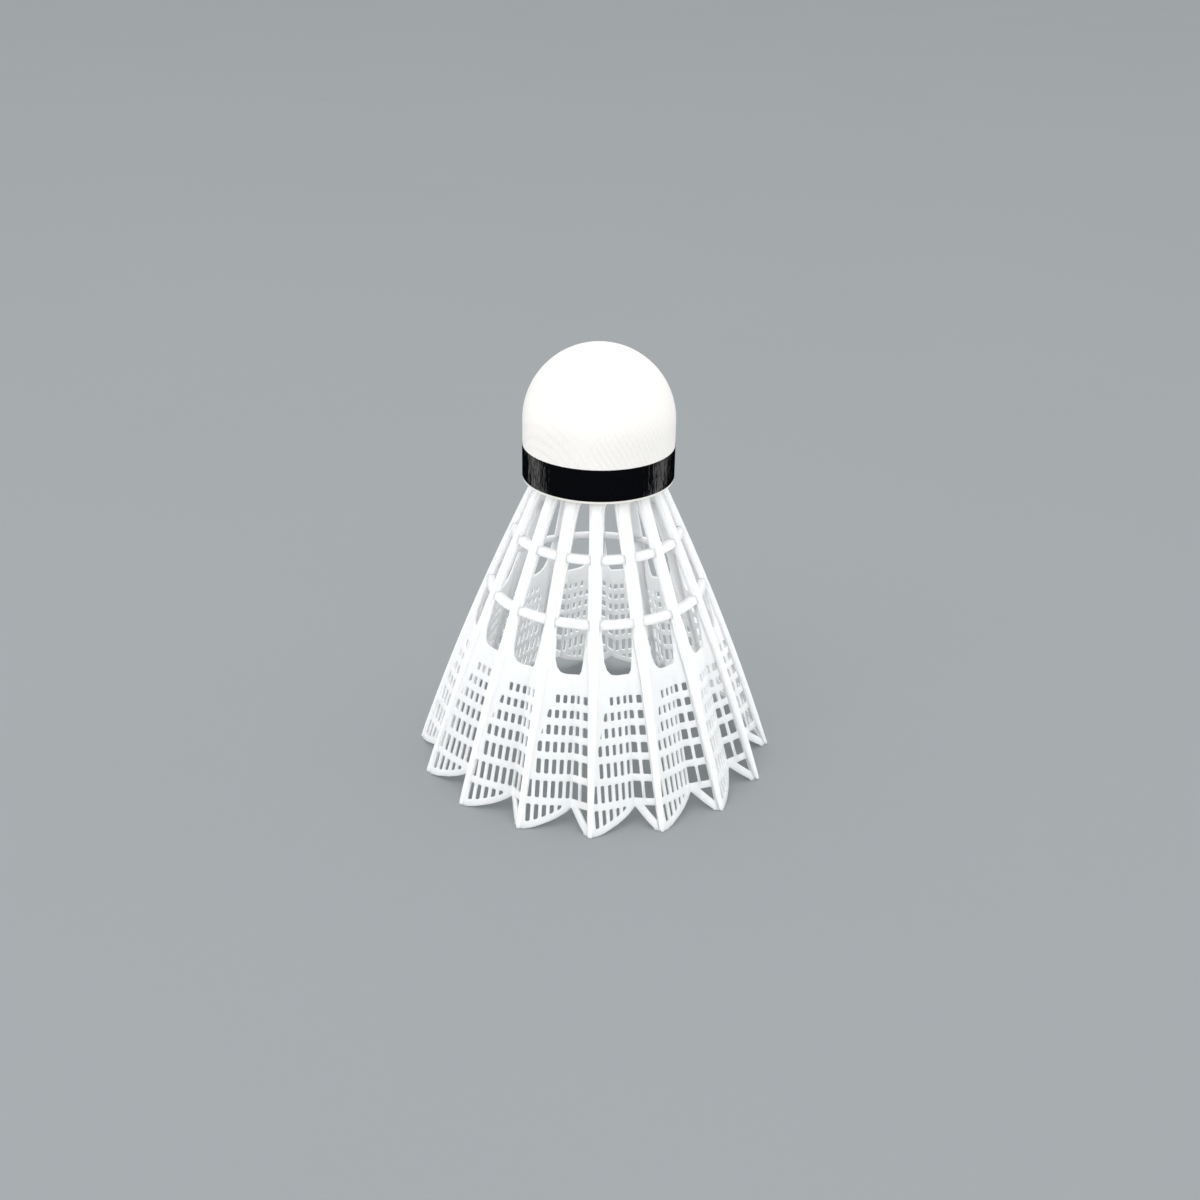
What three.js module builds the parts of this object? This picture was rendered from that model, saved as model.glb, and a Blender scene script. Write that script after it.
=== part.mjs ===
// Badminton shuttlecock: a skinned cork head on a moulded nylon skirt of sixteen feathers.
// Millimetres, +Z up. It stands on the skirt's tips at z = 0 with the head upwards, and the origin
// is the middle of the circle of tips. Feather 1's stem lies towards -Y, and the numbers go
// anticlockwise as seen from above.
// The skirt is one moulding. It is given here as its hub, stems, hoops and vanes, each a simple solid.

import * as THREE from 'three';

// Driving dimensions of the whole
const TOTAL_HEIGHT = 79.0;
const HEAD_RADIUS = 13.5;
const TIP_RADIUS = 33.56;          // outside of the stems where they stand
const FEATHERS = 16;
const JOINT_GAP = 0.3;             // between neighbours that touch in the moulding
const GLUE_GAP = 0.1;              // between the head's layers

// Head: dome, skin, band and cork
const DOME_CENTRE_Z = TOTAL_HEIGHT - HEAD_RADIUS;
const HEAD_BOTTOM_Z = 54.9;
const SKIN_THICKNESS = 0.6;
const BAND_BOTTOM_Z = 55.35;
const BAND_HEIGHT = 5.75;
const BAND_STANDS_PROUD = 0.15;

// Hub: the flange under the cork and the hollow plug pressed up into it
const PLUG_RADIUS = 5.1;
const PLUG_WALL = 0.9;
const PLUG_TOP_Z = 62.4;
const FLANGE_RADIUS = 9.8;
const FLANGE_BOTTOM_Z = 53.4;
const SKIRT_TOP_Z = 54.6;

// Skirt profile: the outside of the stems, from the collar down to the tips
const COLLAR_Z = 55.34;
const COLLAR_RADIUS = 11.15;
const SKIRT_BULGE = 1.02;          // how far the middle swells past a straight cone

// Stems
const STEM_TIP_WIDTH = 1.05;
const STEM_TOP_WIDTH = 2.15;
const STEM_TIP_DEPTH = 1.2;
const STEM_TOP_DEPTH = 1.5;
const GUSSET_WIDTH = 1.3;          // what both gussets add to a stem where it leaves the collar
const GUSSET_REACH = 0.9;          // how fast they fade, going down

// Hoops, inside the stems
const HOOP_HEIGHTS = { hoop_upper: 45.1, hoop_lower: 34.8 };
const HOOP_BAR_HEIGHT = 1.2;
const HOOP_BAR_DEPTH = 0.8;

// Vanes: each leaves its stem, leans in to a fold near the next stem and turns back out
const VANE_TOP_Z = 26.8;
const VANE_FOOT_Z = 0.3;
const VANE_THICKNESS = 0.85;
const VANE_RECESS = 0.3;           // how far its face lies inside the stems' outer faces
const FOLD_FRACTION = 0.68;        // where the fold lies between two stems
const FOLD_DEPTH = 3.1;            // at the skirt's lower end
const FOLD_END_Z = 36.5;           // where the fold would fade out, had the vane no window there
const FOLD_CURVE = 1.6;
const NOTCH_Z = 3.25;              // the notch in the lower edge, at the fold
const LOBE_CURVE = 1.45;

// Fineness
const AROUND = 48;
const DOME_STEPS = 10;
const STEM_STEPS = 11;
const LOBE_COLUMNS = 4;
const RETURN_COLUMNS = 2;
const VANE_ROWS = 6;

const PITCH = (2 * Math.PI) / FEATHERS;

const nylon = () => new THREE.MeshStandardMaterial({ color: 0xf1f3f4, roughness: 0.42, metalness: 0 });
const skinLeather = () => new THREE.MeshStandardMaterial({ color: 0xf5f4ef, roughness: 0.55, metalness: 0 });
const bandTape = () => new THREE.MeshStandardMaterial({ color: 0x08090a, roughness: 0.18, metalness: 0 });
const cork = () => new THREE.MeshStandardMaterial({ color: 0xc39b6c, roughness: 0.9, metalness: 0 });

const group = new THREE.Group();

function addPiece(name, geometry, material, turn = 0) {
  const mesh = new THREE.Mesh(geometry, material);
  mesh.name = name;
  mesh.rotation.z = turn;
  group.add(mesh);
}

// A point at an angle from -Y, anticlockwise from above
function polar(angle, radius, z) {
  return new THREE.Vector3(radius * Math.sin(angle), -radius * Math.cos(angle), z);
}

function mix(a, b, t) {
  return a + (b - a) * t;
}

// Outside radius of the stems at a height
function skirtRadius(z) {
  const down = 1 - z / COLLAR_Z;
  return mix(COLLAR_RADIUS, TIP_RADIUS, down) + SKIRT_BULGE * 4 * down * (1 - down);
}

function stemDepth(z) {
  return mix(STEM_TIP_DEPTH, STEM_TOP_DEPTH, z / SKIRT_TOP_Z);
}

function stemWidth(z) {
  const gussets = GUSSET_WIDTH * Math.exp((z - SKIRT_TOP_Z) / GUSSET_REACH);
  return mix(STEM_TIP_WIDTH, STEM_TOP_WIDTH, z / SKIRT_TOP_Z) + gussets;
}

// A closed solid from triangles that share their points
function solid(points, triangles) {
  const geometry = new THREE.BufferGeometry();
  geometry.setAttribute('position', new THREE.Float32BufferAttribute(points.flatMap((p) => p.toArray()), 3));
  geometry.setIndex(triangles);
  geometry.computeVertexNormals();
  return geometry;
}

// A solid lofted through level rings, listed upwards, each anticlockwise from above
function loft(rings) {
  const count = rings[0].length;
  const triangles = [];
  for (let ring = 0; ring < rings.length - 1; ring++) {
    for (let i = 0; i < count; i++) {
      const a = ring * count + i;
      const b = ring * count + ((i + 1) % count);
      triangles.push(a, b, b + count, a, b + count, a + count);
    }
  }
  const top = (rings.length - 1) * count;
  for (let i = 1; i < count - 1; i++) {
    triangles.push(0, i + 1, i);
    triangles.push(top, top + i, top + i + 1);
  }
  return solid(rings.flat(), triangles);
}

// A closed sheet between two grids of points, columns rightwards and rows upwards as seen from outside
function thickSheet(outside, inside, columns, rows) {
  const points = [];
  for (const face of [outside, inside]) {
    for (let row = 0; row <= rows; row++) {
      for (let column = 0; column <= columns; column++) {
        points.push(face(column, row));
      }
    }
  }
  const out = (column, row) => row * (columns + 1) + column;
  const into = (column, row) => (rows + 1) * (columns + 1) + out(column, row);
  const triangles = [];
  const quad = (a, b, c, d) => triangles.push(a, b, c, a, c, d);
  for (let row = 0; row < rows; row++) {
    for (let column = 0; column < columns; column++) {
      quad(out(column, row), out(column + 1, row), out(column + 1, row + 1), out(column, row + 1));
      quad(into(column, row), into(column, row + 1), into(column + 1, row + 1), into(column + 1, row));
    }
    quad(out(0, row), out(0, row + 1), into(0, row + 1), into(0, row));
    quad(out(columns, row), into(columns, row), into(columns, row + 1), out(columns, row + 1));
  }
  for (let column = 0; column < columns; column++) {
    quad(out(column, 0), into(column, 0), into(column + 1, 0), out(column + 1, 0));
    quad(out(column, rows), out(column + 1, rows), into(column + 1, rows), into(column, rows));
  }
  return solid(points, triangles);
}

// A profile of [radius, z] pairs turned round the Z axis
function turned(profile) {
  const points = profile.map(([radius, z]) => new THREE.Vector2(radius, z));
  return new THREE.LatheGeometry(points, AROUND).rotateX(Math.PI / 2);
}

// Quarter circle of the dome, from its rim up to the axis
function domeArc(radius) {
  const arc = [];
  for (let step = 0; step <= DOME_STEPS; step++) {
    const rise = (step / DOME_STEPS) * (Math.PI / 2);
    arc.push([step === DOME_STEPS ? 0 : radius * Math.cos(rise), DOME_CENTRE_Z + radius * Math.sin(rise)]);
  }
  return arc;
}

function headSkin() {
  const inner = HEAD_RADIUS - SKIN_THICKNESS;
  return turned([
    ...domeArc(inner).reverse(),
    [inner, HEAD_BOTTOM_Z],
    [HEAD_RADIUS, HEAD_BOTTOM_Z],
    ...domeArc(HEAD_RADIUS),
  ]);
}

function corkCore() {
  const radius = HEAD_RADIUS - SKIN_THICKNESS - GLUE_GAP;
  const bore = PLUG_RADIUS + JOINT_GAP;
  const boreTop = PLUG_TOP_Z + JOINT_GAP;
  return turned([[0, boreTop], [bore, boreTop], [bore, HEAD_BOTTOM_Z], [radius, HEAD_BOTTOM_Z], ...domeArc(radius)]);
}

function band() {
  const inner = HEAD_RADIUS + GLUE_GAP / 2;
  const outer = HEAD_RADIUS + BAND_STANDS_PROUD;
  const top = BAND_BOTTOM_Z + BAND_HEIGHT;
  return turned([[inner, BAND_BOTTOM_Z], [outer, BAND_BOTTOM_Z], [outer, top], [inner, top], [inner, BAND_BOTTOM_Z]]);
}

function skirtHub() {
  const bore = PLUG_RADIUS - PLUG_WALL;
  return turned([
    [bore, FLANGE_BOTTOM_Z],
    [FLANGE_RADIUS, FLANGE_BOTTOM_Z],
    [FLANGE_RADIUS, SKIRT_TOP_Z],
    [PLUG_RADIUS, SKIRT_TOP_Z],
    [PLUG_RADIUS, PLUG_TOP_Z],
    [bore, PLUG_TOP_Z],
    [bore, FLANGE_BOTTOM_Z],
  ]);
}

function hoop(middle) {
  const bottom = middle - HOOP_BAR_HEIGHT / 2;
  const top = middle + HOOP_BAR_HEIGHT / 2;
  const outerAt = (z) => skirtRadius(z) - stemDepth(z) - JOINT_GAP;
  return turned([
    [outerAt(bottom) - HOOP_BAR_DEPTH, bottom],
    [outerAt(bottom), bottom],
    [outerAt(top), top],
    [outerAt(top) - HOOP_BAR_DEPTH, top],
    [outerAt(bottom) - HOOP_BAR_DEPTH, bottom],
  ]);
}

// The stem towards -Y: level sections with bevelled corners, so it stands on a flat foot
function stem() {
  const rings = [];
  for (let step = 0; step <= STEM_STEPS; step++) {
    // Steps close up towards the gussets at the top
    const z = SKIRT_TOP_Z * (1 - (1 - step / STEM_STEPS) ** 1.5);
    const half = stemWidth(z) / 2;
    const outer = -skirtRadius(z);
    const inner = outer + stemDepth(z);
    const bevel = STEM_TIP_WIDTH * 0.3;
    rings.push([
      new THREE.Vector3(-half + bevel, outer, z),
      new THREE.Vector3(half - bevel, outer, z),
      new THREE.Vector3(half, outer + bevel, z),
      new THREE.Vector3(half, inner - bevel, z),
      new THREE.Vector3(half - bevel, inner, z),
      new THREE.Vector3(-half + bevel, inner, z),
      new THREE.Vector3(-half, inner - bevel, z),
      new THREE.Vector3(-half, outer + bevel, z),
    ]);
  }
  return loft(rings);
}

// The vane between the stem towards -Y and the next one anticlockwise
function vane() {
  const columns = LOBE_COLUMNS + RETURN_COLUMNS;
  const face = (into) => (column, row) => {
    // across runs from 0 at this stem to 1 at the fold and 2 at the next stem
    const lobe = column <= LOBE_COLUMNS;
    const across = lobe ? column / LOBE_COLUMNS : 1 + (column - LOBE_COLUMNS) / RETURN_COLUMNS;
    const toFold = lobe ? across : 2 - across;
    const edge = mix(VANE_FOOT_Z, NOTCH_Z, lobe ? toFold ** LOBE_CURVE : toFold);
    const z = mix(edge, VANE_TOP_Z, row / VANE_ROWS);
    const radius = skirtRadius(z) - VANE_RECESS;
    const clear = (stemWidth(z) / 2 + JOINT_GAP) / (radius - VANE_THICKNESS);
    const foldAngle = FOLD_FRACTION * PITCH;
    const angle = lobe ? mix(clear, foldAngle, across) : mix(foldAngle, PITCH - clear, across - 1);
    const depth = FOLD_DEPTH * (1 - (z / FOLD_END_Z) ** FOLD_CURVE) * toFold;
    return polar(angle, radius - depth - into, z);
  };
  return thickSheet(face(0), face(VANE_THICKNESS), columns, VANE_ROWS);
}

addPiece('head_skin', headSkin(), skinLeather());
addPiece('cork_core', corkCore(), cork());
addPiece('band_tape', band(), bandTape());
addPiece('skirt_hub', skirtHub(), nylon());

for (const [name, height] of Object.entries(HOOP_HEIGHTS)) {
  addPiece(name, hoop(height), nylon());
}

for (let feather = 0; feather < FEATHERS; feather++) {
  const number = String(feather + 1).padStart(2, '0');
  addPiece(`stem_${number}`, stem(), nylon(), feather * PITCH);
  addPiece(`vane_${number}`, vane(), nylon(), feather * PITCH);
}

export default group;
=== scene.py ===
"""Badminton shuttlecock: a skinned cork head with a glossy band, on a moulded nylon skirt.

Laid out as an add-on and run as a script. It registers its operators, calls them in order, and leaves
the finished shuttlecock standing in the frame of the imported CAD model. Lengths are metres.
"""

import math

import bmesh
import bpy
from mathutils import Matrix, Vector


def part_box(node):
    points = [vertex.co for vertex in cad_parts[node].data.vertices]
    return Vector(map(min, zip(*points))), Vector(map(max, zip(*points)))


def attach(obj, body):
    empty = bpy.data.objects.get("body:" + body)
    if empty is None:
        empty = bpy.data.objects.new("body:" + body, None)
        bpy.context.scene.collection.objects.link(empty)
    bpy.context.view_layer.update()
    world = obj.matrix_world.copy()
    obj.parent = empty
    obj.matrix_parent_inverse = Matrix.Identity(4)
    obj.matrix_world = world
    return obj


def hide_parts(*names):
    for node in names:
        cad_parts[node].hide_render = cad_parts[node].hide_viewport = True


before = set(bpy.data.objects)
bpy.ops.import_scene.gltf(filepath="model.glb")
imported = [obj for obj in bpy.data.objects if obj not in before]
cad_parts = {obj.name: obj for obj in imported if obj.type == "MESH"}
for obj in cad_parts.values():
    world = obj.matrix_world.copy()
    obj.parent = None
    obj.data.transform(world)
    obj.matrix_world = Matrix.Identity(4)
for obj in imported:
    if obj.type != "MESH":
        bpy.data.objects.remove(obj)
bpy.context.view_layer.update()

bl_info = {
    "name": "Badminton Shuttlecock",
    "version": (1, 0, 0),
    "blender": (4, 5, 0),
    "location": "3D View > Sidebar > Shuttlecock",
    "description": "Builds a nylon badminton shuttlecock around its packed CAD frame",
    "category": "Object",
}

MM = 0.001

HEAD_LOW, HEAD_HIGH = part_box("head_skin")
BAND_LOW, BAND_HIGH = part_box("band_tape")
HUB_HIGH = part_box("skirt_hub")[1]
STEM_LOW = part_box("stem_01")[0]

# The lattice of a vane, heights in millimetres
SLOTS_TOP = 23.11
BAR_HEIGHTS = (21.14, 18.57, 15.76, 12.77, 9.09, 4.95)
BAR_HALF_HEIGHT = 0.58
RIM_HEIGHT = 1.2
# Outlines on a vane: the share of the way to the next stem, and the height in millimetres
# The lower edge runs from the stem's tip over the lobe to the notch and down to the next tip
LOWER_EDGE = ((0.0, 0.0), (0.06, 0.02), (0.165, 0.16), (0.27, 0.6), (0.39, 1.1), (0.51, 1.72), (0.62, 2.45),
              (0.708, 3.3), (0.78, 2.15), (0.85, 1.15), (0.93, 0.05), (1.0, 0.0))
# The three-cornered slot at the next stem's tip
TIP_SLOT = ((0.958, 1.6), (0.956, 4.33), (0.808, 3.95))
# The window above the solid web, anticlockwise from its upper left corner
WINDOW = ((0.150, 34.4), (0.200, 29.8), (0.222, 28.5), (0.268, 27.4), (0.340, 26.65), (0.45, 26.3),
          (0.690, 26.2), (0.735, 26.4), (0.765, 27.2), (0.800, 29.4), (0.848, 34.4))
# The sides of the two wide slots right of the fold, as shares of that way at the lower and the upper height
WIDE_SLOTS = ((0.689, 0.697), (0.808, 0.767), (0.843, 0.829), (0.952, 0.921))
WIDE_SLOT_HEIGHTS = (7.0 * MM, 19.9 * MM)
# Widths of a stem, in millimetres, by height
STEM_WIDTHS = ((0, 0.95), (7, 1.1), (14, 1.25), (22, 1.5), (30, 1.6), (40, 1.65), (50, 1.75), (55, 1.85))


class HeadSizes(bpy.types.PropertyGroup):
    """Sizes of the head and of the band round it."""

    radius: bpy.props.FloatProperty(
        name="Radius", description="Outside radius of the skin", default=HEAD_HIGH.x, unit="LENGTH")
    top: bpy.props.FloatProperty(
        name="Top", description="Height of the crown", default=HEAD_HIGH.z, unit="LENGTH")
    rim: bpy.props.FloatProperty(
        name="Rim", description="Height of the skin's cut edge", default=HEAD_LOW.z, unit="LENGTH")
    skin: bpy.props.FloatProperty(
        name="Skin", description="Thickness of the leather", default=0.6 * MM, unit="LENGTH")
    band_foot: bpy.props.FloatProperty(
        name="Band foot", description="Height of the band's lower edge", default=BAND_LOW.z, unit="LENGTH")
    band_top: bpy.props.FloatProperty(
        name="Band top", description="Height of the band's upper edge", default=BAND_HIGH.z, unit="LENGTH")
    tape: bpy.props.FloatProperty(
        name="Tape", description="Thickness of the tape", default=0.07 * MM, unit="LENGTH")
    overlap: bpy.props.FloatProperty(
        name="Overlap", description="Angle by which the tape laps over its own start",
        default=math.radians(16), subtype="ANGLE", unit="ROTATION")
    seam: bpy.props.FloatProperty(
        name="Seam", description="Where the tape's winding starts, from the front, anticlockwise",
        default=math.radians(141), subtype="ANGLE", unit="ROTATION")


class SkirtSizes(bpy.types.PropertyGroup):
    """Sizes of the moulded skirt."""

    feathers: bpy.props.IntProperty(name="Feathers", description="Stems, and vanes between them", default=16)
    tip_radius: bpy.props.FloatProperty(
        name="Tip radius", description="Outside radius of the stems where they stand", default=-STEM_LOW.y,
        unit="LENGTH")
    collar_radius: bpy.props.FloatProperty(
        name="Collar radius", description="Outside radius of the stems under the head", default=11.15 * MM,
        unit="LENGTH")
    collar_height: bpy.props.FloatProperty(
        name="Collar height", description="Height of that collar", default=55.34 * MM, unit="LENGTH")
    swell: bpy.props.FloatProperty(
        name="Swell", description="How far the middle swells past a straight cone", default=1.02 * MM,
        unit="LENGTH")
    stem_top: bpy.props.FloatProperty(
        name="Stem top", description="Height at which the stems meet the head", default=54.86 * MM,
        unit="LENGTH")
    hoop_heights: bpy.props.FloatVectorProperty(
        name="Hoops", description="Heights of the two hoops", default=(34.8 * MM, 45.1 * MM), size=2,
        unit="LENGTH")
    hoop_bar: bpy.props.FloatProperty(
        name="Hoop bar", description="Height of a hoop's bar", default=1.3 * MM, unit="LENGTH")
    wall: bpy.props.FloatProperty(
        name="Wall", description="Thickness of a vane", default=0.42 * MM, unit="LENGTH")


class VaneSizes(bpy.types.PropertyGroup):
    """Sizes of the folded lattice between two stems."""

    fold: bpy.props.FloatProperty(
        name="Fold", description="Where the fold lies, as a share of the way to the next stem", default=0.68,
        subtype="FACTOR")
    fold_depth: bpy.props.FloatProperty(
        name="Fold depth", description="How far the fold lies inside the stems at the tips",
        default=3.95 * MM, unit="LENGTH")
    fold_rise: bpy.props.FloatProperty(
        name="Fold rise", description="How much of that is lost by 22.2 mm above the tips",
        default=1.4 * MM, unit="LENGTH")
    left_recess: bpy.props.FloatProperty(
        name="Left recess", description="Depth of the wall's middle at its own stem", default=0.62 * MM,
        unit="LENGTH")
    right_recess: bpy.props.FloatProperty(
        name="Right recess", description="Depth of the wall's middle at the next stem", default=0.9 * MM,
        unit="LENGTH")
    fillet: bpy.props.FloatProperty(
        name="Fillet", description="Half the width over which the fold is rounded", default=0.3 * MM,
        unit="LENGTH")
    slot: bpy.props.FloatProperty(
        name="Slot", description="Width of a slot", default=0.66 * MM, unit="LENGTH")
    slot_pitch: bpy.props.FloatProperty(
        name="Slot pitch", description="From one slot's middle to the next", default=1.2 * MM, unit="LENGTH")
    first_slot: bpy.props.FloatProperty(
        name="First slot", description="From the fold to the first slot's middle", default=0.63 * MM,
        unit="LENGTH")
    corner: bpy.props.FloatProperty(
        name="Corner", description="Rounding of the slots' corners", default=0.2 * MM, unit="LENGTH")
    dip: bpy.props.FloatProperty(
        name="Dip", description="How far the bars drop for each millimetre that they lie deeper",
        default=0.26)


class FinishColours(bpy.types.PropertyGroup):
    """Base colours of the four finishes and of the floor."""

    nylon: bpy.props.FloatVectorProperty(
        name="Nylon", description="Skirt", default=(0.95, 0.953, 0.962), subtype="COLOR", min=0, max=1)
    leather: bpy.props.FloatVectorProperty(
        name="Leather", description="Head's skin", default=(0.93, 0.90, 0.87), subtype="COLOR", min=0, max=1)
    tape: bpy.props.FloatVectorProperty(
        name="Tape", description="Band", default=(0.003, 0.0032, 0.004), subtype="COLOR", min=0, max=1)
    cork: bpy.props.FloatVectorProperty(
        name="Cork", description="Core of the head", default=(0.50, 0.31, 0.15), subtype="COLOR", min=0,
        max=1)
    floor: bpy.props.FloatVectorProperty(
        name="Floor", description="Studio floor and wall", default=(0.35, 0.37, 0.375), subtype="COLOR",
        min=0, max=1)


class Maths:
    """A node socket that Python's operators act on: each adds the Math node of that sum."""

    def __init__(self, tree, socket):
        self.tree, self.socket = tree, socket

    def _math(self, operation, *values):
        node = self.tree.nodes.new("ShaderNodeMath")
        node.operation = operation
        for slot, value in zip(node.inputs, values):
            if isinstance(value, Maths):
                self.tree.links.new(value.socket, slot)
            else:
                slot.default_value = value
        return Maths(self.tree, node.outputs[0])

    def __add__(self, other):
        return self._math("ADD", self, other)

    __radd__ = __add__

    def __sub__(self, other):
        return self._math("SUBTRACT", self, other)

    def __rsub__(self, other):
        return self._math("SUBTRACT", other, self)

    def __mul__(self, other):
        return self._math("MULTIPLY", self, other)

    __rmul__ = __mul__

    def __pow__(self, other):
        return self._math("POWER", self, other)

    def sine(self):
        return self._math("SINE", self)

    def cosine(self):
        return self._math("COSINE", self)

    def arctangent(self, other):
        """Angle of the point whose height is this and whose width is the other, in radians."""
        return self._math("ARCTAN2", self, other)

    def step(self, start, end):
        """0 below start and 1 past end, eased between."""
        return Finish.wrap(self.tree, "ShaderNodeMapRange", {"interpolation_type": "SMOOTHSTEP"},
                           {"Value": self, "From Min": start, "From Max": end})


class Finish:
    """One material and the nodes that are added to it."""

    def __init__(self, name):
        self.material = bpy.data.materials.new(name)
        self.material.use_nodes = True
        self.tree = self.material.node_tree
        self.shader = self.tree.nodes["Principled BSDF"]
        place = self.tree.nodes.new("ShaderNodeTexCoord")
        self.place = Maths(self.tree, place.outputs["Object"])
        split = self.node("ShaderNodeSeparateXYZ", {}, {"Vector": self.place}, None)
        self.x, self.y, self.z = (Maths(self.tree, split.outputs[axis]) for axis in range(3))

    @staticmethod
    def wrap(tree, kind, settings, sockets, output=0):
        """Adds a node with these settings and sockets. Gives its output, or the node if output is None."""
        node = tree.nodes.new(kind)
        for key, value in settings.items():
            setattr(node, key, value)
        for key, value in sockets.items():
            if isinstance(value, Maths):
                tree.links.new(value.socket, node.inputs[key])
            else:
                node.inputs[key].default_value = value
        return node if output is None else Maths(tree, node.outputs[output])

    def node(self, kind, settings, sockets, output=0):
        return self.wrap(self.tree, kind, settings, sockets, output)

    def noise(self, scale, detail, roughness, distortion=0.0, vector=None):
        return self.node("ShaderNodeTexNoise", {}, {
            "Vector": vector or self.place, "Scale": scale, "Detail": detail, "Roughness": roughness,
            "Distortion": distortion})

    def vector(self, x, y, z):
        return self.node("ShaderNodeCombineXYZ", {}, {"X": x, "Y": y, "Z": z})

    def blend(self, share, first, second):
        """The colour first where share is 0, and second where it is 1."""
        node = self.node("ShaderNodeMix", {"data_type": "RGBA"}, {0: share}, None)
        for slot, value in ((6, first), (7, second)):
            if isinstance(value, Maths):
                self.tree.links.new(value.socket, node.inputs[slot])
            else:
                node.inputs[slot].default_value = (*value[:3], 1)
        return Maths(self.tree, node.outputs[2])

    def around(self):
        """Angle about the shuttle's axis, in radians."""
        return self.y.arctangent(self.x)

    def bump(self, height, distance, strength=1.0, under=None):
        sockets = {"Height": height, "Distance": distance, "Strength": strength}
        if under is not None:
            sockets["Normal"] = under
        return self.node("ShaderNodeBump", {}, sockets)

    def set(self, **sockets):
        """Constants and links of the surface's own sockets; an underscore stands for a space."""
        for key, value in sockets.items():
            slot = self.shader.inputs[key.replace("_", " ")]
            if isinstance(value, Maths):
                self.tree.links.new(value.socket, slot)
            else:
                slot.default_value = value
        return self.material


def made_once(build):
    """A finish is made at its first use and shared from then on."""

    def get(colours):
        name = build.__name__
        return bpy.data.materials.get(name) or build(colours, Finish(name))

    return get


@made_once
def moulded_nylon(colours, finish):
    """Cool white nylon: satin, faintly cloudy, dulled and scuffed towards the tips."""
    cloud = finish.noise(140, 4, 0.55)
    fine = finish.noise(2600, 3, 0.6)
    scuffs = finish.noise(900, 5, 0.7, 0.6).step(0.60, 0.74)
    low = 1 - finish.z.step(0.0 * MM, 9 * MM)
    white = Vector(colours.nylon)
    colour = finish.blend(cloud.step(0.35, 0.7), white, white * 0.965)
    colour = finish.blend(scuffs * low * 0.35, colour, (0.62, 0.62, 0.60))
    rough = 0.36 + 0.10 * cloud + 0.16 * scuffs + 0.05 * fine
    flow = finish.noise(1.0, 3, 0.5, 0.2, finish.vector(finish.x * 900, finish.y * 900, finish.z * 60))
    orange_peel = finish.bump(fine, 0.012 * MM, 0.5)
    drawn = finish.bump(flow, 0.03 * MM, 0.35, orange_peel)
    return finish.set(Base_Color=colour, Roughness=rough, Normal=drawn, IOR=1.53, Subsurface_Weight=1.0,
                      Subsurface_Radius=(1.0, 1.0, 1.0), Subsurface_Scale=1.2 * MM)


@made_once
def white_leather(colours, finish):
    """Thin polyurethane leather: pebbled grain, with fine stretch wrinkles that fan over the head's sides,
    their creases darkened with painted shade.
    """
    pebble = finish.node("ShaderNodeTexVoronoi", {"feature": "DISTANCE_TO_EDGE"}, {
        "Vector": finish.place, "Scale": 2300.0, "Randomness": 1.0})
    fine = finish.noise(3800, 3, 0.6)
    drift = finish.noise(70, 3, 0.5, 0.3)
    angle = finish.around()
    height = finish.z * 1000
    # creases from drawing the leather down: arches that open towards the band, crowned left of the front
    arch = 1 + (angle - 0.70).cosine()
    run = arch * 60 + height * 2.0 + drift * 9.0
    crease = ((run * 1.5).sine() * 0.5 + 0.5) ** 2.5
    side = 1 - finish.z.step(62 * MM, 74 * MM)
    patchy = finish.noise(150, 2, 0.5).step(0.34, 0.62)
    wrinkle_and_crease_shade = crease * side * patchy
    white = Vector(colours.leather)
    # painted shade: the creases are darkened in the colour as well as raised by the bump
    colour = finish.blend(wrinkle_and_crease_shade * 0.8, white, white * 0.93)
    colour = finish.blend(pebble.step(0.0, 0.14) * -0.4 + 0.4, colour, (0.80, 0.775, 0.71))
    edge = 1 - finish.z.step(55.05 * MM, 55.45 * MM)
    colour = finish.blend(edge * 0.85, colour, (0.93, 0.90, 0.80))
    rough = 0.50 + 0.12 * fine + 0.06 * drift
    grain = finish.bump(pebble.step(0.0, 0.25), 0.030 * MM, 0.5)
    creased = finish.bump(wrinkle_and_crease_shade, 0.045 * MM, 0.7, grain)
    soft = finish.bump(drift, 0.10 * MM, 0.25, creased)
    return finish.set(Base_Color=colour, Roughness=rough, Normal=soft, IOR=1.48)


@made_once
def glossy_tape(colours, finish):
    """Black tape: glossy, with upright ripples from being stretched round the head, and fine scratches."""
    angle = finish.around()
    ripple = finish.noise(1.0, 2, 0.5, 1.2, finish.vector(angle * 9, finish.z * 200, 0.0))
    thread = finish.noise(1.0, 2, 0.5, 0.6, finish.vector(angle * 34, finish.z * 230, 0.0))
    scratch = finish.noise(1.0, 2, 0.5, 0.0, finish.vector(angle * 20, finish.z * 9000, 0.0)).step(0.66, 0.72)
    dust = finish.noise(4200, 2, 0.5).step(0.72, 0.78)
    colour = finish.blend(dust * 0.35, Vector(colours.tape), (0.10, 0.10, 0.11))
    rough = 0.05 + 0.05 * thread.step(0.45, 0.75) + 0.08 * scratch + 0.2 * dust
    waves = finish.bump(ripple, 0.20 * MM, 0.5)
    lines = finish.bump(thread, 0.11 * MM, 0.7, waves)
    return finish.set(Base_Color=colour, Roughness=rough, Normal=lines, IOR=1.40, Specular_IOR_Level=0.13)


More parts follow.
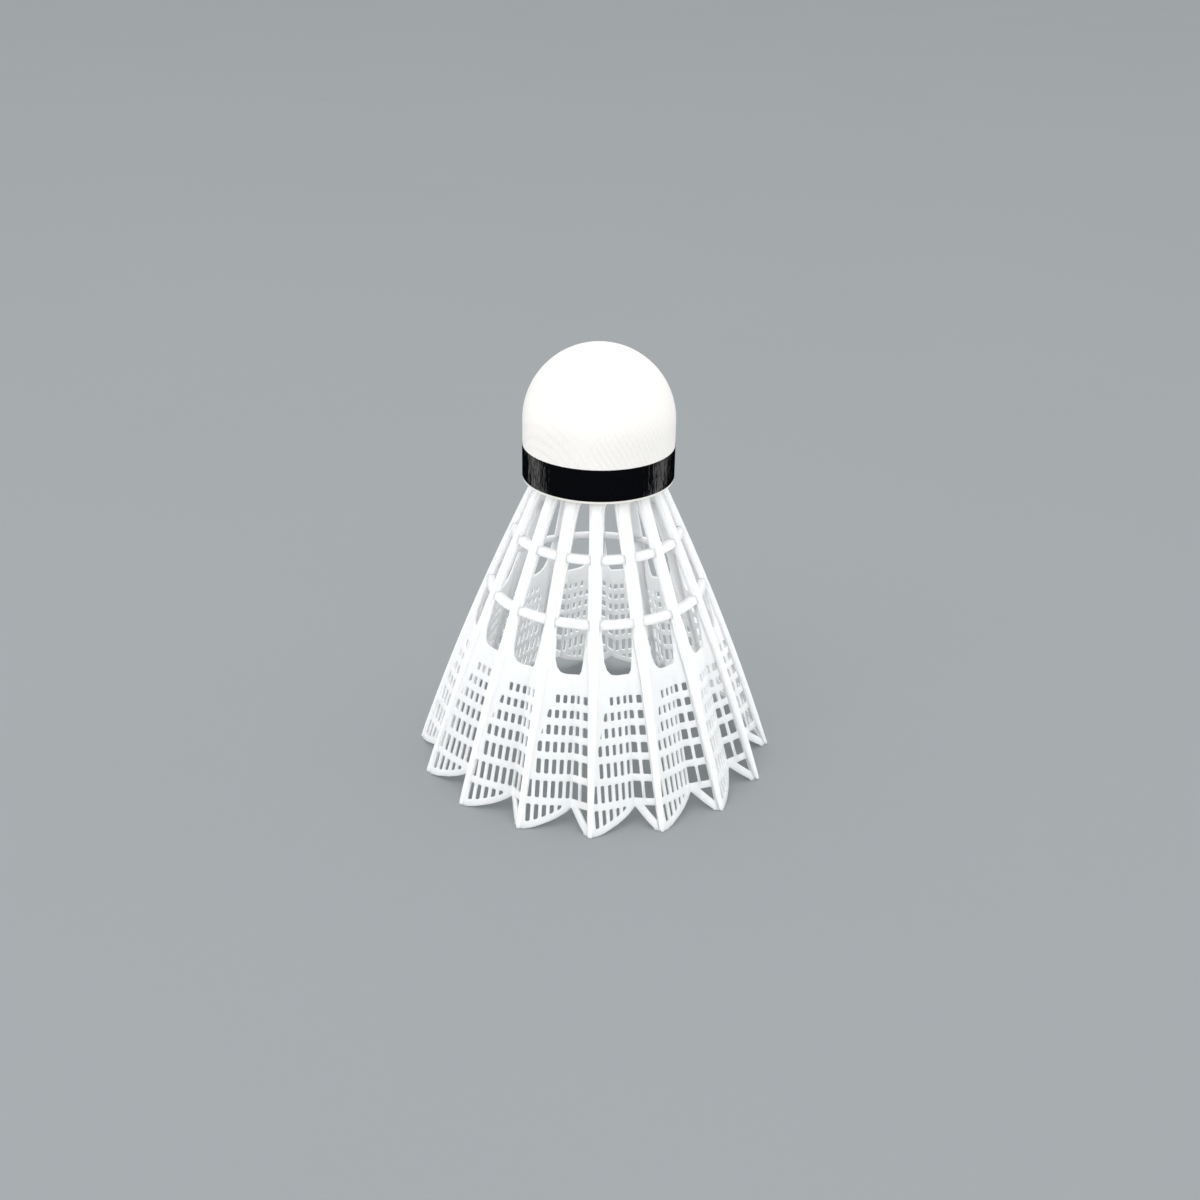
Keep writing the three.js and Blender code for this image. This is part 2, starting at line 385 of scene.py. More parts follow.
@made_once
def raw_cork(colours, finish):
    """Pressed cork: packed granules of several browns with dark pores between them."""
    cells = finish.node("ShaderNodeTexVoronoi", {}, {"Vector": finish.place, "Scale": 1050.0}, "Color")
    split = finish.node("ShaderNodeSeparateXYZ", {}, {"Vector": cells}, None)
    tint = Maths(finish.tree, split.outputs[0])
    gaps = finish.node("ShaderNodeTexVoronoi", {"feature": "DISTANCE_TO_EDGE"}, {
        "Vector": finish.place, "Scale": 1050.0})
    pores = finish.noise(2400, 4, 0.7).step(0.62, 0.7)
    brown = Vector(colours.cork)
    colour = finish.blend(tint, brown * 0.72, brown * 1.35)
    colour = finish.blend(1 - gaps.step(0.02, 0.1), colour, brown * 0.25)
    colour = finish.blend(pores * 0.7, colour, brown * 0.18)
    relief = finish.bump(gaps.step(0.0, 0.14) - pores, 0.12 * MM, 0.8)
    return finish.set(Base_Color=colour, Roughness=0.82 + 0.1 * tint, Normal=relief)


@made_once
def studio_floor(colours, finish):
    """Pale matt board, for the floor and the wall round it."""
    mottle = finish.noise(9, 4, 0.5)
    pale = Vector(colours.floor)
    colour = finish.blend(mottle, pale * 0.985, pale * 1.01)
    tooth = finish.bump(finish.noise(1800, 2, 0.5), 0.02 * MM, 0.2)
    return finish.set(Base_Color=colour, Roughness=0.9 + 0.05 * mottle, Normal=tooth, Specular_IOR_Level=0.1)


def mix(first, second, share):
    return first + (second - first) * share


def nothing_selected():
    for item in bpy.context.selected_objects:
        item.select_set(False)
    bpy.context.view_layer.objects.active = None


def only(piece):
    nothing_selected()
    piece.select_set(True)
    bpy.context.view_layer.objects.active = piece


def named(piece, name):
    piece.name = name
    piece.data.name = name
    return piece


def edit(piece):
    """Opens the piece in edit mode with nothing selected, and gives its mesh."""
    only(piece)
    bpy.ops.object.mode_set(mode="EDIT")
    bpy.ops.mesh.select_all(action="DESELECT")
    return bmesh.from_edit_mesh(piece.data)


def done():
    """Leaves edit mode."""
    bpy.ops.object.mode_set(mode="OBJECT")


def pick_faces(piece, wanted):
    """Selects in edit mode just the faces whose middle the test wants. True if there are any."""
    bpy.ops.mesh.select_mode(type="FACE")
    bpy.ops.mesh.select_all(action="DESELECT")
    mesh = bmesh.from_edit_mesh(piece.data)
    found = [face for face in mesh.faces if wanted(face.calc_center_median())]
    for face in found:
        face.select_set(True)
    bmesh.update_edit_mesh(piece.data)
    return bool(found)


def modified(piece, kind, **settings):
    """Adds a modifier and applies it."""
    only(piece)
    modifier = piece.modifiers.new(kind.title(), kind)
    for key, value in settings.items():
        setattr(modifier, key, value)
    bpy.ops.object.modifier_apply(modifier=modifier.name)


def smooth(piece, degrees=35):
    only(piece)
    bpy.ops.object.shade_smooth_by_angle(angle=math.radians(degrees))


def rounded(piece, width, segments=2, degrees=40):
    """Breaks the sharp edges."""
    modified(piece, "BEVEL", width=width, segments=segments, limit_method="ANGLE",
             angle_limit=math.radians(degrees), use_clamp_overlap=False, miter_outer="MITER_SHARP")


def settled(piece):
    """Puts the piece's place, turn and scale into its mesh."""
    only(piece)
    bpy.ops.object.transform_apply(location=True, rotation=True, scale=True)


def finished(piece, material, slot, *nodes):
    """Gives the piece its finish, hangs it on the root body and hides the frame's nodes that it replaces.

    A piece that has a gap in its skin, or is inside out, stops the build.
    """
    mesh = bmesh.new()
    mesh.from_mesh(piece.data)
    closed = all(side.is_manifold for side in mesh.edges) and mesh.calc_volume(signed=True) > 0
    mesh.free()
    if not closed:
        raise RuntimeError(f"{piece.name} isn't a closed skin that faces outwards")
    piece.data.materials.clear()
    piece.data.materials.append(material)
    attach(piece, "root")
    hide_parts(*nodes)
    return piece


def spun(name, outline, steps):
    """A closed ring: the outline, (radius, height) corners anticlockwise, spun once round the axis."""
    nothing_selected()
    bpy.ops.mesh.primitive_circle_add(vertices=len(outline), radius=1.0, fill_type="NOTHING")
    ring = named(bpy.context.object, name)
    for corner, (radius, height) in zip(ring.data.vertices, outline):
        corner.co = (radius, 0, height)
    edit(ring)
    bpy.ops.mesh.select_all(action="SELECT")
    bpy.ops.mesh.spin(steps=steps, angle=2 * math.pi, center=(0, 0, 0), axis=(0, 0, 1))
    bpy.ops.mesh.select_all(action="SELECT")
    bpy.ops.mesh.remove_doubles(threshold=0.001 * MM)
    bpy.ops.mesh.normals_make_consistent(inside=False)
    done()
    settled(ring)
    return ring


class SkirtForm:
    """The skirt's surfaces. A place on a vane is the share of the way to the next stem, and a height.

    A vane's sheet is laid out flat with the fold at 0: the first sheet coordinate is the distance from the
    fold, the second the height before the bars' dip.
    """

    RISE_HEIGHT = 22.2 * MM
    RISE_POWER = 1.6
    FLUSH_SHARE = 0.45
    FLUSH_HEIGHT = 6 * MM

    def __init__(self, skirt, vane):
        self.skirt, self.vane = skirt, vane
        self.pitch = 2 * math.pi / skirt.feathers

    def radius(self, height):
        down = 1 - height / self.skirt.collar_height
        straight = mix(self.skirt.collar_radius, self.skirt.tip_radius, down)
        return straight + self.skirt.swell * 4 * down * (1 - down)

    def fold_depth(self, height):
        lost = self.vane.fold_rise * (max(height, 0) / self.RISE_HEIGHT) ** self.RISE_POWER
        return max(self.vane.fold_depth - lost, self.vane.right_recess)

    def depth(self, share, height):
        deep, fold = self.fold_depth(height), self.vane.fold
        fillet = self.vane.fillet / self.arc(height)
        # the wall comes out almost flush with the stems' faces at the tips
        inset = mix(self.FLUSH_SHARE, 1.0, min(1.0, max(height, 0) / self.FLUSH_HEIGHT))
        left_fall = (deep - self.vane.left_recess * inset) / fold
        right_fall = (deep - self.vane.right_recess * inset) / (1 - fold)
        past = share - fold
        if past < -fillet:
            return deep + left_fall * past
        if past > fillet:
            return deep - right_fall * past
        turn = (past + fillet) / (2 * fillet)
        ends = (1 - turn) ** 2 * (deep - left_fall * fillet) + turn ** 2 * (deep - right_fall * fillet)
        return ends + 2 * turn * (1 - turn) * deep

    def arc(self, height):
        return self.pitch * (self.radius(height) - self.fold_depth(height))

    def dip(self, share, height):
        return self.vane.dip * (self.depth(share, height) - self.vane.left_recess)

    def on_sheet(self, share, height):
        level = height + self.dip(share, height)
        return (share - self.vane.fold) * self.arc(level), level

    def share_at(self, across, level):
        return self.vane.fold + across / self.arc(level)

    def off_sheet(self, across, level):
        share = self.share_at(across, level)
        return self.place(share * self.pitch, self.depth(share, level), level - self.dip(share, level))

    def place(self, angle, depth, height):
        """A point that deep inside the stems' faces. Angles run anticlockwise from the first stem."""
        radius = self.radius(height) - depth
        return Vector((radius * math.sin(angle), -radius * math.cos(angle), max(height, 0)))

    def stem_width(self, height):
        return interpolated(STEM_WIDTHS, height / MM) * MM


def inside(corners, across, level):
    """True within a convex outline that runs anticlockwise."""
    return all((bx - ax) * (level - az) - (bz - az) * (across - ax) > 0
               for (ax, az), (bx, bz) in zip(corners, (*corners[1:], corners[0])))


def slot_rows():
    """Bottom and top of each row of slots, from the top row down."""
    tops = [SLOTS_TOP] + [bar - BAR_HALF_HEIGHT for bar in BAR_HEIGHTS]
    feet = [bar + BAR_HALF_HEIGHT for bar in BAR_HEIGHTS] + [0.0]
    return [(foot * MM, top * MM) for foot, top in zip(feet, tops)]


def interpolated(points, across):
    """The second number of the outline where its first number is across."""
    for (ax, az), (bx, bz) in zip(points, points[1:]):
        if across <= bx:
            return mix(az, bz, (across - ax) / (bx - ax))
    return points[-1][1]


class VaneSheet:
    """One vane as a flat sheet, which is cut with straight lines and then folded."""

    # what the numbers of the faces' materials stand for until the sheet is folded
    WALL, SLOT, WASTE = range(3)
    LEFT, RIGHT, TOP = -8.6 * MM, 4.3 * MM, 35.3 * MM
    # levels that part the window from the rest, and the lower edge and its slots from the rest
    WINDOW_FOOT = 25.9 * MM
    LOW_SLOTS_TOP = 4.6 * MM
    LOW_EDGE_TOP = 4.4 * MM
    # levels above the slots, enough for the web to follow the skirt's swell
    WEB_LEVELS = (25.0, 27.0, 29.0, 31.0, 33.0)
    # places right of the fold where the lower edge bends, in millimetres
    LOW_EDGE_STATIONS = (0.33, 0.9, 1.5, 2.1, 2.7)
    # height at which the solid strip beside the stem stops narrowing
    KNEE = 11.86 * MM

    def __init__(self, form):
        self.form, self.vane = form, form.vane
        self.rows = slot_rows()
        self.slots = [-(self.vane.first_slot + self.vane.slot_pitch * number) for number in range(6)]
        self.half_slot = self.vane.slot / 2
        sides = (-self.half_slot, self.half_slot)
        self.slot_sides = sorted(middle + side for middle in self.slots for side in sides)
        self.wide = [self.slanted(*shares) for shares in WIDE_SLOTS]
        self.lower_edge = self.outline(LOWER_EDGE)
        self.lower_edge[0] = (-9 * MM, 0.0)
        self.window = self.outline(WINDOW)
        self.tip_slot = self.outline(TIP_SLOT)

        nothing_selected()
        bpy.ops.mesh.primitive_plane_add(size=1, location=((self.LEFT + self.RIGHT) / 2, 0, self.TOP / 2),
                                         rotation=(math.pi / 2, 0, 0))
        self.piece = named(bpy.context.object, "vane")
        self.piece.scale = (self.RIGHT - self.LEFT, self.TOP, 1)
        settled(self.piece)

    def outline(self, corners):
        return [self.form.on_sheet(share, height * MM) for share, height in corners]

    def slanted(self, low_share, high_share):
        """The line through these shares at two heights, as (across, level) at the sheet's foot and top."""
        low, high = WIDE_SLOT_HEIGHTS
        low_x = (low_share - self.vane.fold) * self.form.arc(low)
        high_x = (high_share - self.vane.fold) * self.form.arc(high)
        slope = (high_x - low_x) / (high - low)
        return (low_x - slope * low, 0.0), (low_x + slope * (self.TOP - low), self.TOP)

    def web_edge(self, level):
        """The edge of the solid strip beside the stem, which the slots run out on."""
        reach = max(0.6 * MM, 2.55 * MM - 0.175 * (23 * MM - level))
        return -self.vane.fold * self.form.arc(level) + 0.91 * reach

    def cut(self, start, end, within=lambda across, level: True):
        """Cuts along the line through two sheet points, where the faces' middles are within the region."""
        if not pick_faces(self.piece, lambda middle: within(middle.x, middle.z)):
            return
        along = Vector((end[0] - start[0], 0, end[1] - start[1])).normalized()
        bpy.ops.mesh.bisect(plane_co=(start[0], 0, start[1]), plane_no=(-along.z, 0, along.x))

    def level_cut(self, level):
        self.cut((0, level), (1, level))

    def upright_cut(self, across, within=lambda across, level: True):
        self.cut((across, 0), (across, 1), within)

    def cut_rows(self):
        for foot, high in self.rows:
            self.level_cut(high)
            if foot > 0:
                self.level_cut(foot)
        for level in self.WEB_LEVELS:
            self.level_cut(level * MM)

    def cut_slots(self):
        """Cuts the fold's rounding and the sides of the slots on both sides of it."""
        for share in (-1, -0.5, 0, 0.5, 1):
            self.upright_cut(share * self.vane.fillet)
        for across in self.slot_sides:
            self.upright_cut(across, lambda x, z: x < 0)
        for line in self.wide:
            self.cut(*line, lambda x, z: x > 0)
        foot, knee, high = (self.web_edge(0), 0), (self.web_edge(self.KNEE), self.KNEE), SLOTS_TOP * MM
        self.cut(knee, (self.web_edge(high), high), lambda x, z: 8 * MM < z < high and x < -2 * MM)
        self.cut(foot, knee, lambda x, z: z < 9.7 * MM and x < -5 * MM)

    def cut_lower_edge(self):
        """Cuts the lower edge, and left of the fold the slots' ends above its rim, strip by strip."""
        bends = [across * MM for across in self.LOW_EDGE_STATIONS]
        for across in bends:
            self.upright_cut(across, lambda x, z: x > 0 and z < 4.3 * MM)
        stations = [self.LEFT, *[x for x in self.slot_sides if x > -8 * MM], 0.0, *bends, self.RIGHT]
        for start, end in zip(stations, stations[1:]):
            line = [(x, interpolated(self.lower_edge, x)) for x in (start, end)]

            def strip(x, z):
                return start < x < end and z < self.LOW_EDGE_TOP

            self.cut(*line, strip)
            if end <= 0:
                self.cut(*[(x, z + RIM_HEIGHT * MM) for x, z in line], strip)

    def cut_openings(self):
        """Cuts round the window and the slot at the tip, and along the middles of the two stems."""
        for start, end in zip(self.window, (*self.window[1:], self.window[0])):
            self.cut(start, end, lambda x, z: z > self.WINDOW_FOOT)
        for start, end in zip(self.tip_slot, (*self.tip_slot[1:], self.tip_slot[0])):
            self.cut(start, end, lambda x, z: 0.8 * MM < x and 1.0 * MM < z < self.LOW_EDGE_TOP)
        for share in (0.0, 1.0):
            way = share - self.vane.fold
            self.cut((self.form.arc(0) * way, 0), (self.form.arc(self.TOP) * way, self.TOP))

    def in_narrow_slot(self, x, z):
        above_rim = z >= self.LOW_SLOTS_TOP or z >= interpolated(self.lower_edge, x) + RIM_HEIGHT * MM
        between_sides = any(abs(x - middle) < self.half_slot for middle in self.slots)
        return x >= self.web_edge(z) and above_rim and between_sides

    def in_wide_slot(self, x, z):
        places = [mix(low[0], high[0], z / self.TOP) for low, high in self.wide]
        return places[0] < x < places[1] or places[2] < x < places[3]

    def kind(self, x, z):
        if z < interpolated(self.lower_edge, x) or not 0 < self.form.share_at(x, z) < 1:
            return self.WASTE
        if z > self.WINDOW_FOOT:
            return self.WASTE if inside(self.window, x, z) else self.WALL
        if x > 0 and z < self.LOW_SLOTS_TOP:
            return self.SLOT if inside(self.tip_slot, x, z) else self.WALL
        if not any(foot < z < high for foot, high in self.rows):
            return self.WALL
        is_slot = self.in_narrow_slot(x, z) if x < 0 else self.in_wide_slot(x, z)
        return self.SLOT if is_slot else self.WALL

    def sort_faces(self):
        """Marks each face as wall, slot or waste. Slivers beside a slot stay wall."""
        mesh = bmesh.from_edit_mesh(self.piece.data)
        sliver = (0.25 * MM) ** 2
        for face in mesh.faces:
            middle = face.calc_center_median()
            face.material_index = self.kind(middle.x, middle.z)
            if face.material_index == self.SLOT and face.calc_area() < sliver:
                face.material_index = self.WALL
        bmesh.update_edit_mesh(self.piece.data)
        done()
        # the faces keep their numbers only where there is a material slot for each
        for number in (self.WALL, self.SLOT, self.WASTE):
            self.piece.data.materials.append(None)

    def round_corners(self):
        """Rounds the corners of the slots that have room for it."""
        edit(self.piece)
        bpy.ops.mesh.select_mode(type="VERT")
        mesh = bmesh.from_edit_mesh(self.piece.data)
        for corner in mesh.verts:
            open_faces = [face for face in corner.link_faces if face.material_index == self.SLOT]
            if len(open_faces) != 1:
                continue
            loop = next(loop for loop in open_faces[0].loops if loop.vert is corner)
            shorter = min(loop.edge.calc_length(), loop.link_loop_prev.edge.calc_length())
            if shorter > 2.1 * self.vane.corner and loop.calc_angle() < math.radians(150):
                corner.select_set(True)
        bmesh.update_edit_mesh(self.piece.data)
        bpy.ops.mesh.bevel(offset=self.vane.corner, segments=2, affect="VERTICES", material=self.WALL,
                           clamp_overlap=False)

    def open_slots(self):
        """Takes out the slots and the waste."""
        bpy.ops.mesh.select_mode(type="FACE")
        bpy.ops.mesh.select_all(action="DESELECT")
        mesh = bmesh.from_edit_mesh(self.piece.data)
        for face in mesh.faces:
            face.select_set(face.material_index != self.WALL)
        bmesh.update_edit_mesh(self.piece.data)
        bpy.ops.mesh.delete(type="FACE")
        bpy.ops.mesh.select_all(action="SELECT")
        bpy.ops.mesh.remove_doubles(threshold=0.02 * MM)
        done()

    def folded(self):
        """Folds the sheet, gives it its wall and stands it flat on its lowest points."""
        for corner in self.piece.data.vertices:
            corner.co = self.form.off_sheet(corner.co.x, corner.co.z)
        modified(self.piece, "SOLIDIFY", thickness=self.form.skirt.wall, offset=0, use_even_offset=True,
                 use_quality_normals=True)
        for corner in self.piece.data.vertices:
            corner.co.z = max(corner.co.z, 0)
        rounded(self.piece, 0.07 * MM, 2, 38)
        return self.piece


def folded_vane(form):
    sheet = VaneSheet(form)
    edit(sheet.piece)
    sheet.cut_rows()
    sheet.cut_slots()
    sheet.cut_lower_edge()
    sheet.cut_openings()
    sheet.sort_faces()
    sheet.round_corners()
    sheet.open_slots()
    return sheet.folded()


def stem_bar(form, name, levels, section):
    """A bar along a stem: a box cut across at the levels, each ring then set to its section.

    section(height) gives the left and right edges, from the stem's middle line, and the depths of the
    outer and inner faces.
    """
    nothing_selected()
    bpy.ops.mesh.primitive_cube_add(size=1, location=(0, 0, 0.5))
    bar = named(bpy.context.object, name)
    bar.scale.z = levels[-1] - levels[0]
    bar.location.z = (levels[0] + levels[-1]) / 2
    settled(bar)
    edit(bar)
    for level in levels[1:-1]:
        bpy.ops.mesh.select_all(action="SELECT")
        bpy.ops.mesh.bisect(plane_co=(0, 0, level), plane_no=(0, 0, 1))
    done()
    for corner in bar.data.vertices:
        left, right, outer, inner = section(corner.co.z)
        depth = outer if corner.co.y < 0 else inner
        offset = left if corner.co.x < 0 else right
        radius = form.radius(corner.co.z) - depth
        corner.co = Vector((offset, -radius, corner.co.z))
    return bar


def feather(form):
    """One stem with its flanges and its vane."""
    top = form.skirt.stem_top
    levels = [0.0, 0.5 * MM, *[step * 2.6 * MM for step in range(1, 21)], 53.6 * MM, top]

    def ridge(height):
        """The raised rib, drawn in at its foot."""
        half = form.stem_width(height) / 2
        if height < 0.4 * MM:
            half *= 0.72
        return -half, half, 0.0, mix(1.42, 1.5, height / top) * MM

    def flange(height):
        """The thinner strips on both sides of the rib, with a gusset on the right under the head."""
        half = form.stem_width(height) / 2
        spread = 0.36 * MM * min(1, (height - 25 * MM) / (6 * MM))
        gusset = 0.95 * MM * math.exp((height - 54.5 * MM) / (0.62 * MM))
        return -half - spread, half + spread + min(gusset, 1.2 * MM), 0.5 * MM, 1.36 * MM

    spine = stem_bar(form, "spine", levels, ridge)
    rounded(spine, 0.24 * MM, 3, 50)
    gusset_levels = [level * MM for level in (52.2, 53.0, 53.5, 53.9, 54.2, 54.5, 54.8)]
    flange_levels = [step * 2.4 * MM for step in range(11, 22)] + gusset_levels
    flanges = stem_bar(form, "flanges", flange_levels, flange)
    rounded(flanges, 0.10 * MM, 2, 50)
    # one closed skin for the whole feather, so that light scatters through it as through one moulding
    for part in (flanges, folded_vane(form)):
        modified(spine, "BOOLEAN", object=part, operation="UNION", solver="MANIFOLD")
        bpy.data.objects.remove(part)
    return spine


def add_to_scene(piece):
    bpy.context.scene.collection.objects.link(piece)


class SHUTTLE_OT_stage(bpy.types.Operator):
    """Sets up the camera, the pale floor and the soft studio light"""

    bl_idname = "shuttle.stage"
    bl_label = "Studio"

    def execute(self, context):
        camera = bpy.data.objects.new("camera", bpy.data.cameras.new("camera"))
        add_to_scene(camera)
        camera.data.lens, camera.data.sensor_width = 47.4, 36
        camera.data.clip_start, camera.data.clip_end = 0.01, 20
        camera.matrix_world = (
            Matrix.Translation((3.31 * MM, -263.18 * MM, 158.8 * MM))
            @ Matrix.Rotation(math.radians(0.57), 4, "Z")
            @ Matrix.Rotation(math.radians(90 - 26.05), 4, "X")
            @ Matrix.Rotation(math.radians(0.99), 4, "Z"))
        context.scene.camera = camera

        nothing_selected()
        bpy.ops.mesh.primitive_circle_add(vertices=96, radius=4, fill_type="TRIFAN", location=(0, 0, 0))
        floor = named(context.object, "floor")
        bpy.ops.mesh.primitive_cylinder_add(vertices=96, radius=3.9, depth=12, end_fill_type="NOTHING",
                                            location=(0, 0, 5.9))
        wall = named(context.object, "wall")
        # the wall round the floor is only a backdrop: the room's light comes in through it
        wall.visible_diffuse = wall.visible_transmission = wall.visible_shadow = False
        for board in (floor, wall):
            board.data.materials.append(studio_floor(context.scene.shuttle_colours))
            board.visible_glossy = False

        world = context.scene.world or bpy.data.worlds.new("studio")
        context.scene.world = world
        world.use_nodes = True
        background = world.node_tree.nodes["Background"]
        background.inputs["Color"].default_value = (0.96, 0.98, 1.0, 1)
        background.inputs["Strength"].default_value = 1.06
        # glossy surfaces see black walls beyond the soft boxes
        world.cycles_visibility.glossy = False

        # broad boxes high up, then low ones that fill in the sides and the back
        self.soft_box("key_light", angle=-38, distance=0.75, height=0.85, size=(0.7, 0.7), power=1.2)
        self.soft_box("top_light", angle=180, distance=0.10, height=1.0, size=(0.8, 0.8), power=0.5)
        low = {"distance": 0.60, "height": 0.16, "size": (0.5, 0.3)}
        low_boxes = [self.soft_box("left_fill", angle=-52, power=1.1, **low),
                     self.soft_box("right_fill", angle=52, power=1.15, **low),
                     self.soft_box("back_light", angle=172, power=2.2, **low)]
        # tall cards close by on both sides show in the gloss alone
        tall = {"distance": 0.125, "height": 0.02, "aim": 0.02, "size": (0.050, 0.13), "power": 0.07}
        cards = [self.soft_box("left_card", angle=-103, **tall),
                 self.soft_box("right_card", angle=103, **tall)]
        # neither the low boxes nor the cards light the floor and the wall
        all_but_floor = bpy.data.collections.new("all_but_floor")
        for board in (floor, wall):
            all_but_floor.objects.link(board)
        for entry in all_but_floor.collection_objects:
            entry.light_linking.link_state = "EXCLUDE"
        for lamp in (*low_boxes, *cards):
            lamp.light_linking.receiver_collection = all_but_floor
            lamp.visible_camera = False
            lamp.visible_glossy = lamp in cards
            lamp.visible_diffuse = lamp not in cards
        context.scene.view_settings.view_transform = "Standard"
        return {"FINISHED"}

    @staticmethod
    def soft_box(name, angle, distance, height, size, power, aim=0.045):
        """A rectangular lamp at an angle from the front, turned to a height on the axis."""
        light = bpy.data.lights.new(name, "AREA")
        light.shape = "RECTANGLE"
        light.size, light.size_y = size
        light.energy = power
        lamp = bpy.data.objects.new(name, light)
        add_to_scene(lamp)
        turn = math.radians(angle)
        lamp.location = (distance * math.sin(turn), -distance * math.cos(turn), height)
        lamp.rotation_euler = (Vector((0, 0, aim)) - lamp.location).to_track_quat("-Z", "Y").to_euler()
        return lamp


class SHUTTLE_OT_head(bpy.types.Operator):
    """Builds the skin over the cork: a dome drawn down into a short cylinder, with a cut lower edge"""

    bl_idname = "shuttle.head"
    bl_label = "Head"

    def execute(self, context):
        head = context.scene.shuttle_head
        colours = context.scene.shuttle_colours
        centre = head.top - head.radius
        nothing_selected()
        bpy.ops.mesh.primitive_uv_sphere_add(segments=128, ring_count=64, radius=head.radius,
                                             location=(0, 0, centre))
        skin = named(context.object, "head_cover")
        settled(skin)
        edit(skin)
        pick_faces(skin, lambda middle: middle.z < centre)
        bpy.ops.mesh.delete(type="FACE")
        bpy.ops.mesh.select_mode(type="EDGE")
        bpy.ops.mesh.select_all(action="DESELECT")
        bpy.ops.mesh.select_non_manifold()
        # draw the equator down in steps, the last one to the rim
        levels = [centre, *[centre - (1.4 + 1.5 * step) * MM for step in range(6)], head.rim]
        for above, below in zip(levels, levels[1:]):
            bpy.ops.mesh.extrude_region_move(TRANSFORM_OT_translate={"value": (0, 0, below - above)})
        bpy.ops.mesh.select_all(action="SELECT")
        bpy.ops.mesh.normals_make_consistent(inside=False)
        done()
        modified(skin, "SOLIDIFY", thickness=head.skin, offset=-1, use_even_offset=True)
        rounded(skin, 0.10 * MM, 2, 60)
        smooth(skin, 50)
        finished(skin, white_leather(colours), "skin", "head_skin")

        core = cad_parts["cork_core"]
        core.data.materials.clear()
        core.data.materials.append(raw_cork(colours))
        return {"FINISHED"}


class SHUTTLE_OT_band(bpy.types.Operator):
    """Winds the tape once round the head, with its end lapped over its start"""

    bl_idname = "shuttle.band"
    bl_label = "Band"

    def execute(self, context):
        head = context.scene.shuttle_head
        lap_start, lap_rise = 2 * math.pi - math.radians(5), math.radians(7)
        nothing_selected()
        bpy.ops.mesh.primitive_grid_add(x_subdivisions=188, y_subdivisions=6, size=1)
        tape = named(context.object, "band")
        whole = 2 * math.pi + head.overlap
        for corner in tape.data.vertices:
            share = corner.co.x + 0.5
            angle = head.seam + share * whole
            lap = min(1.0, max(0.0, (share * whole - lap_start) / lap_rise))
            lift = (head.tape + 0.01 * MM) * lap
            radius = head.radius - 0.005 * MM + head.tape / 2 + lift
            height = mix(head.band_foot, head.band_top, corner.co.y + 0.5)
            corner.co = (radius * math.sin(angle), -radius * math.cos(angle), height)
        only(tape)
        bpy.ops.object.mode_set(mode="EDIT")
        bpy.ops.mesh.select_all(action="SELECT")
        bpy.ops.mesh.normals_make_consistent(inside=False)
        done()
        modified(tape, "SOLIDIFY", thickness=head.tape, offset=0)
        rounded(tape, 0.02 * MM, 2, 60)
        smooth(tape, 40)
        finished(tape, glossy_tape(context.scene.shuttle_colours), "band", "band_tape")
        return {"FINISHED"}


class SHUTTLE_OT_hub(bpy.types.Operator):
    """Builds the skirt's flange under the head and the hollow plug in the cork"""

    bl_idname = "shuttle.hub"
    bl_label = "Hub"

    def execute(self, context):
        skirt = context.scene.shuttle_skirt
        plug, bore, flange, foot = 5.1 * MM, 4.2 * MM, 10.55 * MM, 53.55 * MM
        # the flange's lower corner is dished
        dish = [(flange - 1.25 * MM, foot), (flange - 0.65 * MM, foot + 0.2 * MM), (flange, foot + 0.8 * MM)]
        outline = [(bore, foot), *dish, (flange, skirt.stem_top), (plug, skirt.stem_top),
                   (plug, HUB_HIGH.z), (bore, HUB_HIGH.z)]
        hub = spun("hub", outline, 128)
        rounded(hub, 0.15 * MM, 2, 50)
        smooth(hub)
        finished(hub, moulded_nylon(context.scene.shuttle_colours), "nylon", "skirt_hub")
        return {"FINISHED"}


class SHUTTLE_OT_hoops(bpy.types.Operator):
    """Builds the two hoops, rings of thin bar that pass through the stems"""

    bl_idname = "shuttle.hoops"
    bl_label = "Hoops"

    def execute(self, context):
        scene = context.scene
        form = SkirtForm(scene.shuttle_skirt, scene.shuttle_vane)
        half = scene.shuttle_skirt.hoop_bar / 2
        outer, inner = 0.42 * MM, 1.55 * MM
        for node, height in zip(("hoop_lower", "hoop_upper"), scene.shuttle_skirt.hoop_heights):
            low, high = height - half, height + half
            outline = [(form.radius(low) - inner, low), (form.radius(low) - outer, low),
                       (form.radius(high) - outer, high), (form.radius(high) - inner, high)]
            hoop = spun(node.replace("hoop", "ring"), outline, 160)
            rounded(hoop, 0.16 * MM, 3, 50)
            smooth(hoop, 50)
            finished(hoop, moulded_nylon(scene.shuttle_colours), "nylon", node)
        return {"FINISHED"}


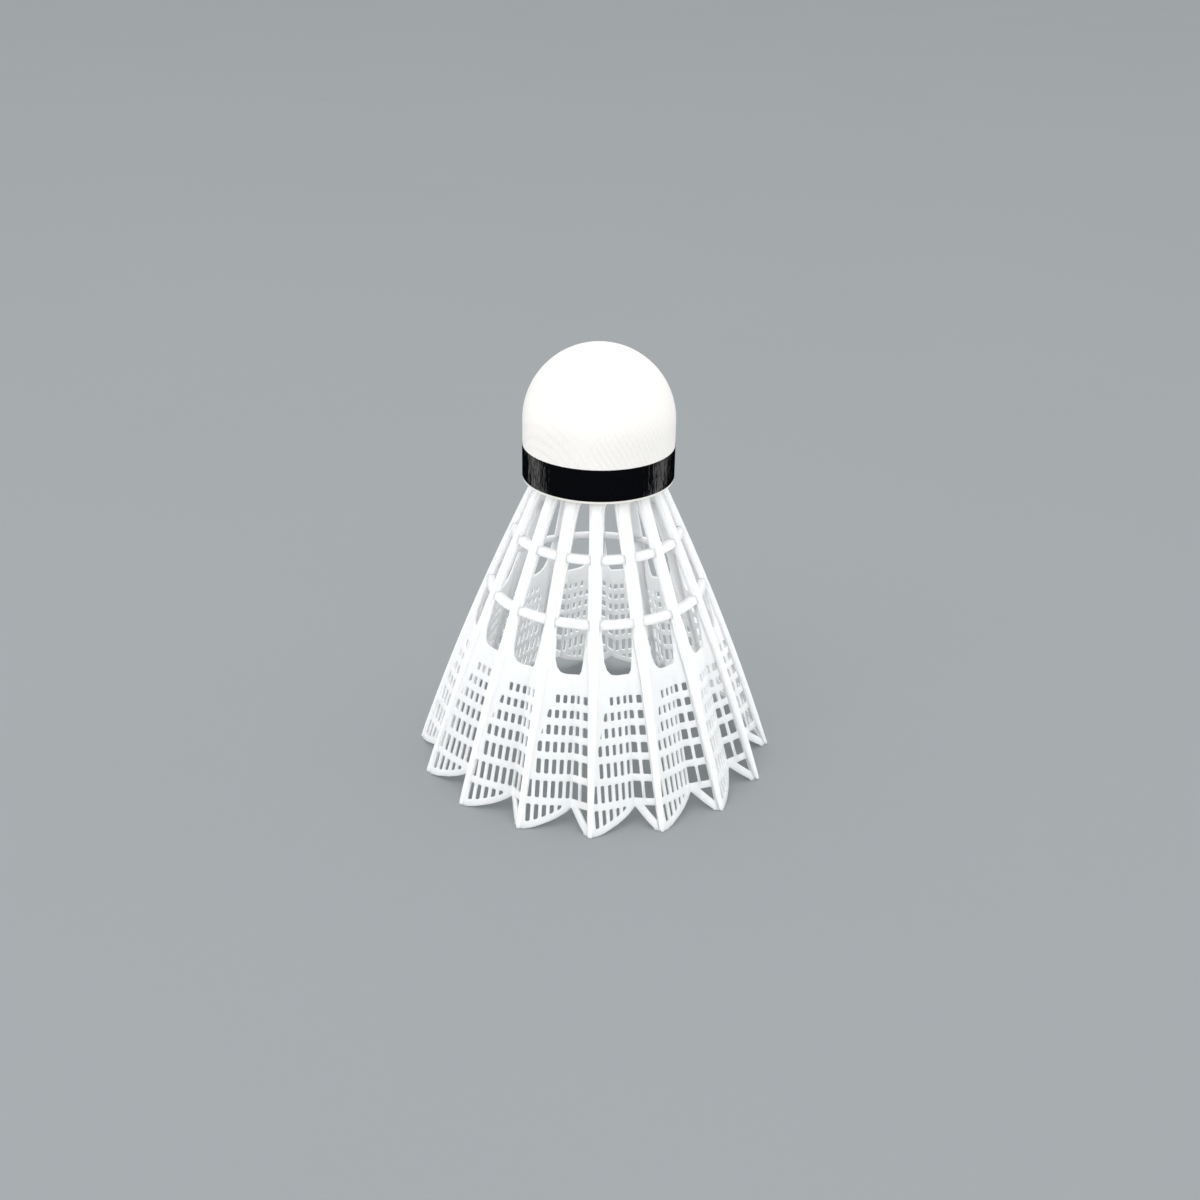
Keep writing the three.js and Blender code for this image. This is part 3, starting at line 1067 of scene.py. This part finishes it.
class SHUTTLE_OT_feathers(bpy.types.Operator):
    """Models one feather, a stem and its folded vane, and sets the others round the axis"""

    bl_idname = "shuttle.feathers"
    bl_label = "Feathers"

    def execute(self, context):
        scene = context.scene
        form = SkirtForm(scene.shuttle_skirt, scene.shuttle_vane)
        first = feather(form)
        smooth(first, 38)
        count = scene.shuttle_skirt.feathers
        for number in range(count):
            only(first)
            bpy.ops.object.duplicate()
            copy = named(context.object, f"feather_{number + 1:02d}")
            copy.data.transform(Matrix.Rotation(number * form.pitch, 4, "Z"))
            finished(copy, moulded_nylon(scene.shuttle_colours), "nylon",
                     f"stem_{number + 1:02d}", f"vane_{number + 1:02d}")
        bpy.data.objects.remove(first)
        return {"FINISHED"}


class SHUTTLE_PT_panel(bpy.types.Panel):
    """Lists the operators and the sizes"""

    bl_idname = "SHUTTLE_PT_panel"
    bl_label = "Shuttlecock"
    bl_space_type = "VIEW_3D"
    bl_region_type = "UI"
    bl_category = "Shuttlecock"

    def draw(self, context):
        for operator in OPERATORS:
            self.layout.operator(operator.bl_idname)
        for name in GROUPS:
            group = getattr(context.scene, name)
            box = self.layout.box()
            for prop in group.__annotations__:
                box.prop(group, prop)


OPERATORS = (SHUTTLE_OT_stage, SHUTTLE_OT_head, SHUTTLE_OT_band, SHUTTLE_OT_hub, SHUTTLE_OT_hoops,
             SHUTTLE_OT_feathers)
GROUPS = {"shuttle_head": HeadSizes, "shuttle_skirt": SkirtSizes, "shuttle_vane": VaneSizes,
          "shuttle_colours": FinishColours}


def register():
    for cls in (*GROUPS.values(), *OPERATORS, SHUTTLE_PT_panel):
        bpy.utils.register_class(cls)
    for name, cls in GROUPS.items():
        setattr(bpy.types.Scene, name, bpy.props.PointerProperty(type=cls))


def unregister():
    for name in GROUPS:
        delattr(bpy.types.Scene, name)
    for cls in (SHUTTLE_PT_panel, *reversed(OPERATORS), *GROUPS.values()):
        bpy.utils.unregister_class(cls)


def main():
    register()
    bpy.ops.shuttle.stage()
    bpy.ops.shuttle.head()
    bpy.ops.shuttle.band()
    bpy.ops.shuttle.hub()
    bpy.ops.shuttle.hoops()
    bpy.ops.shuttle.feathers()


if __name__ == "__main__":
    main()
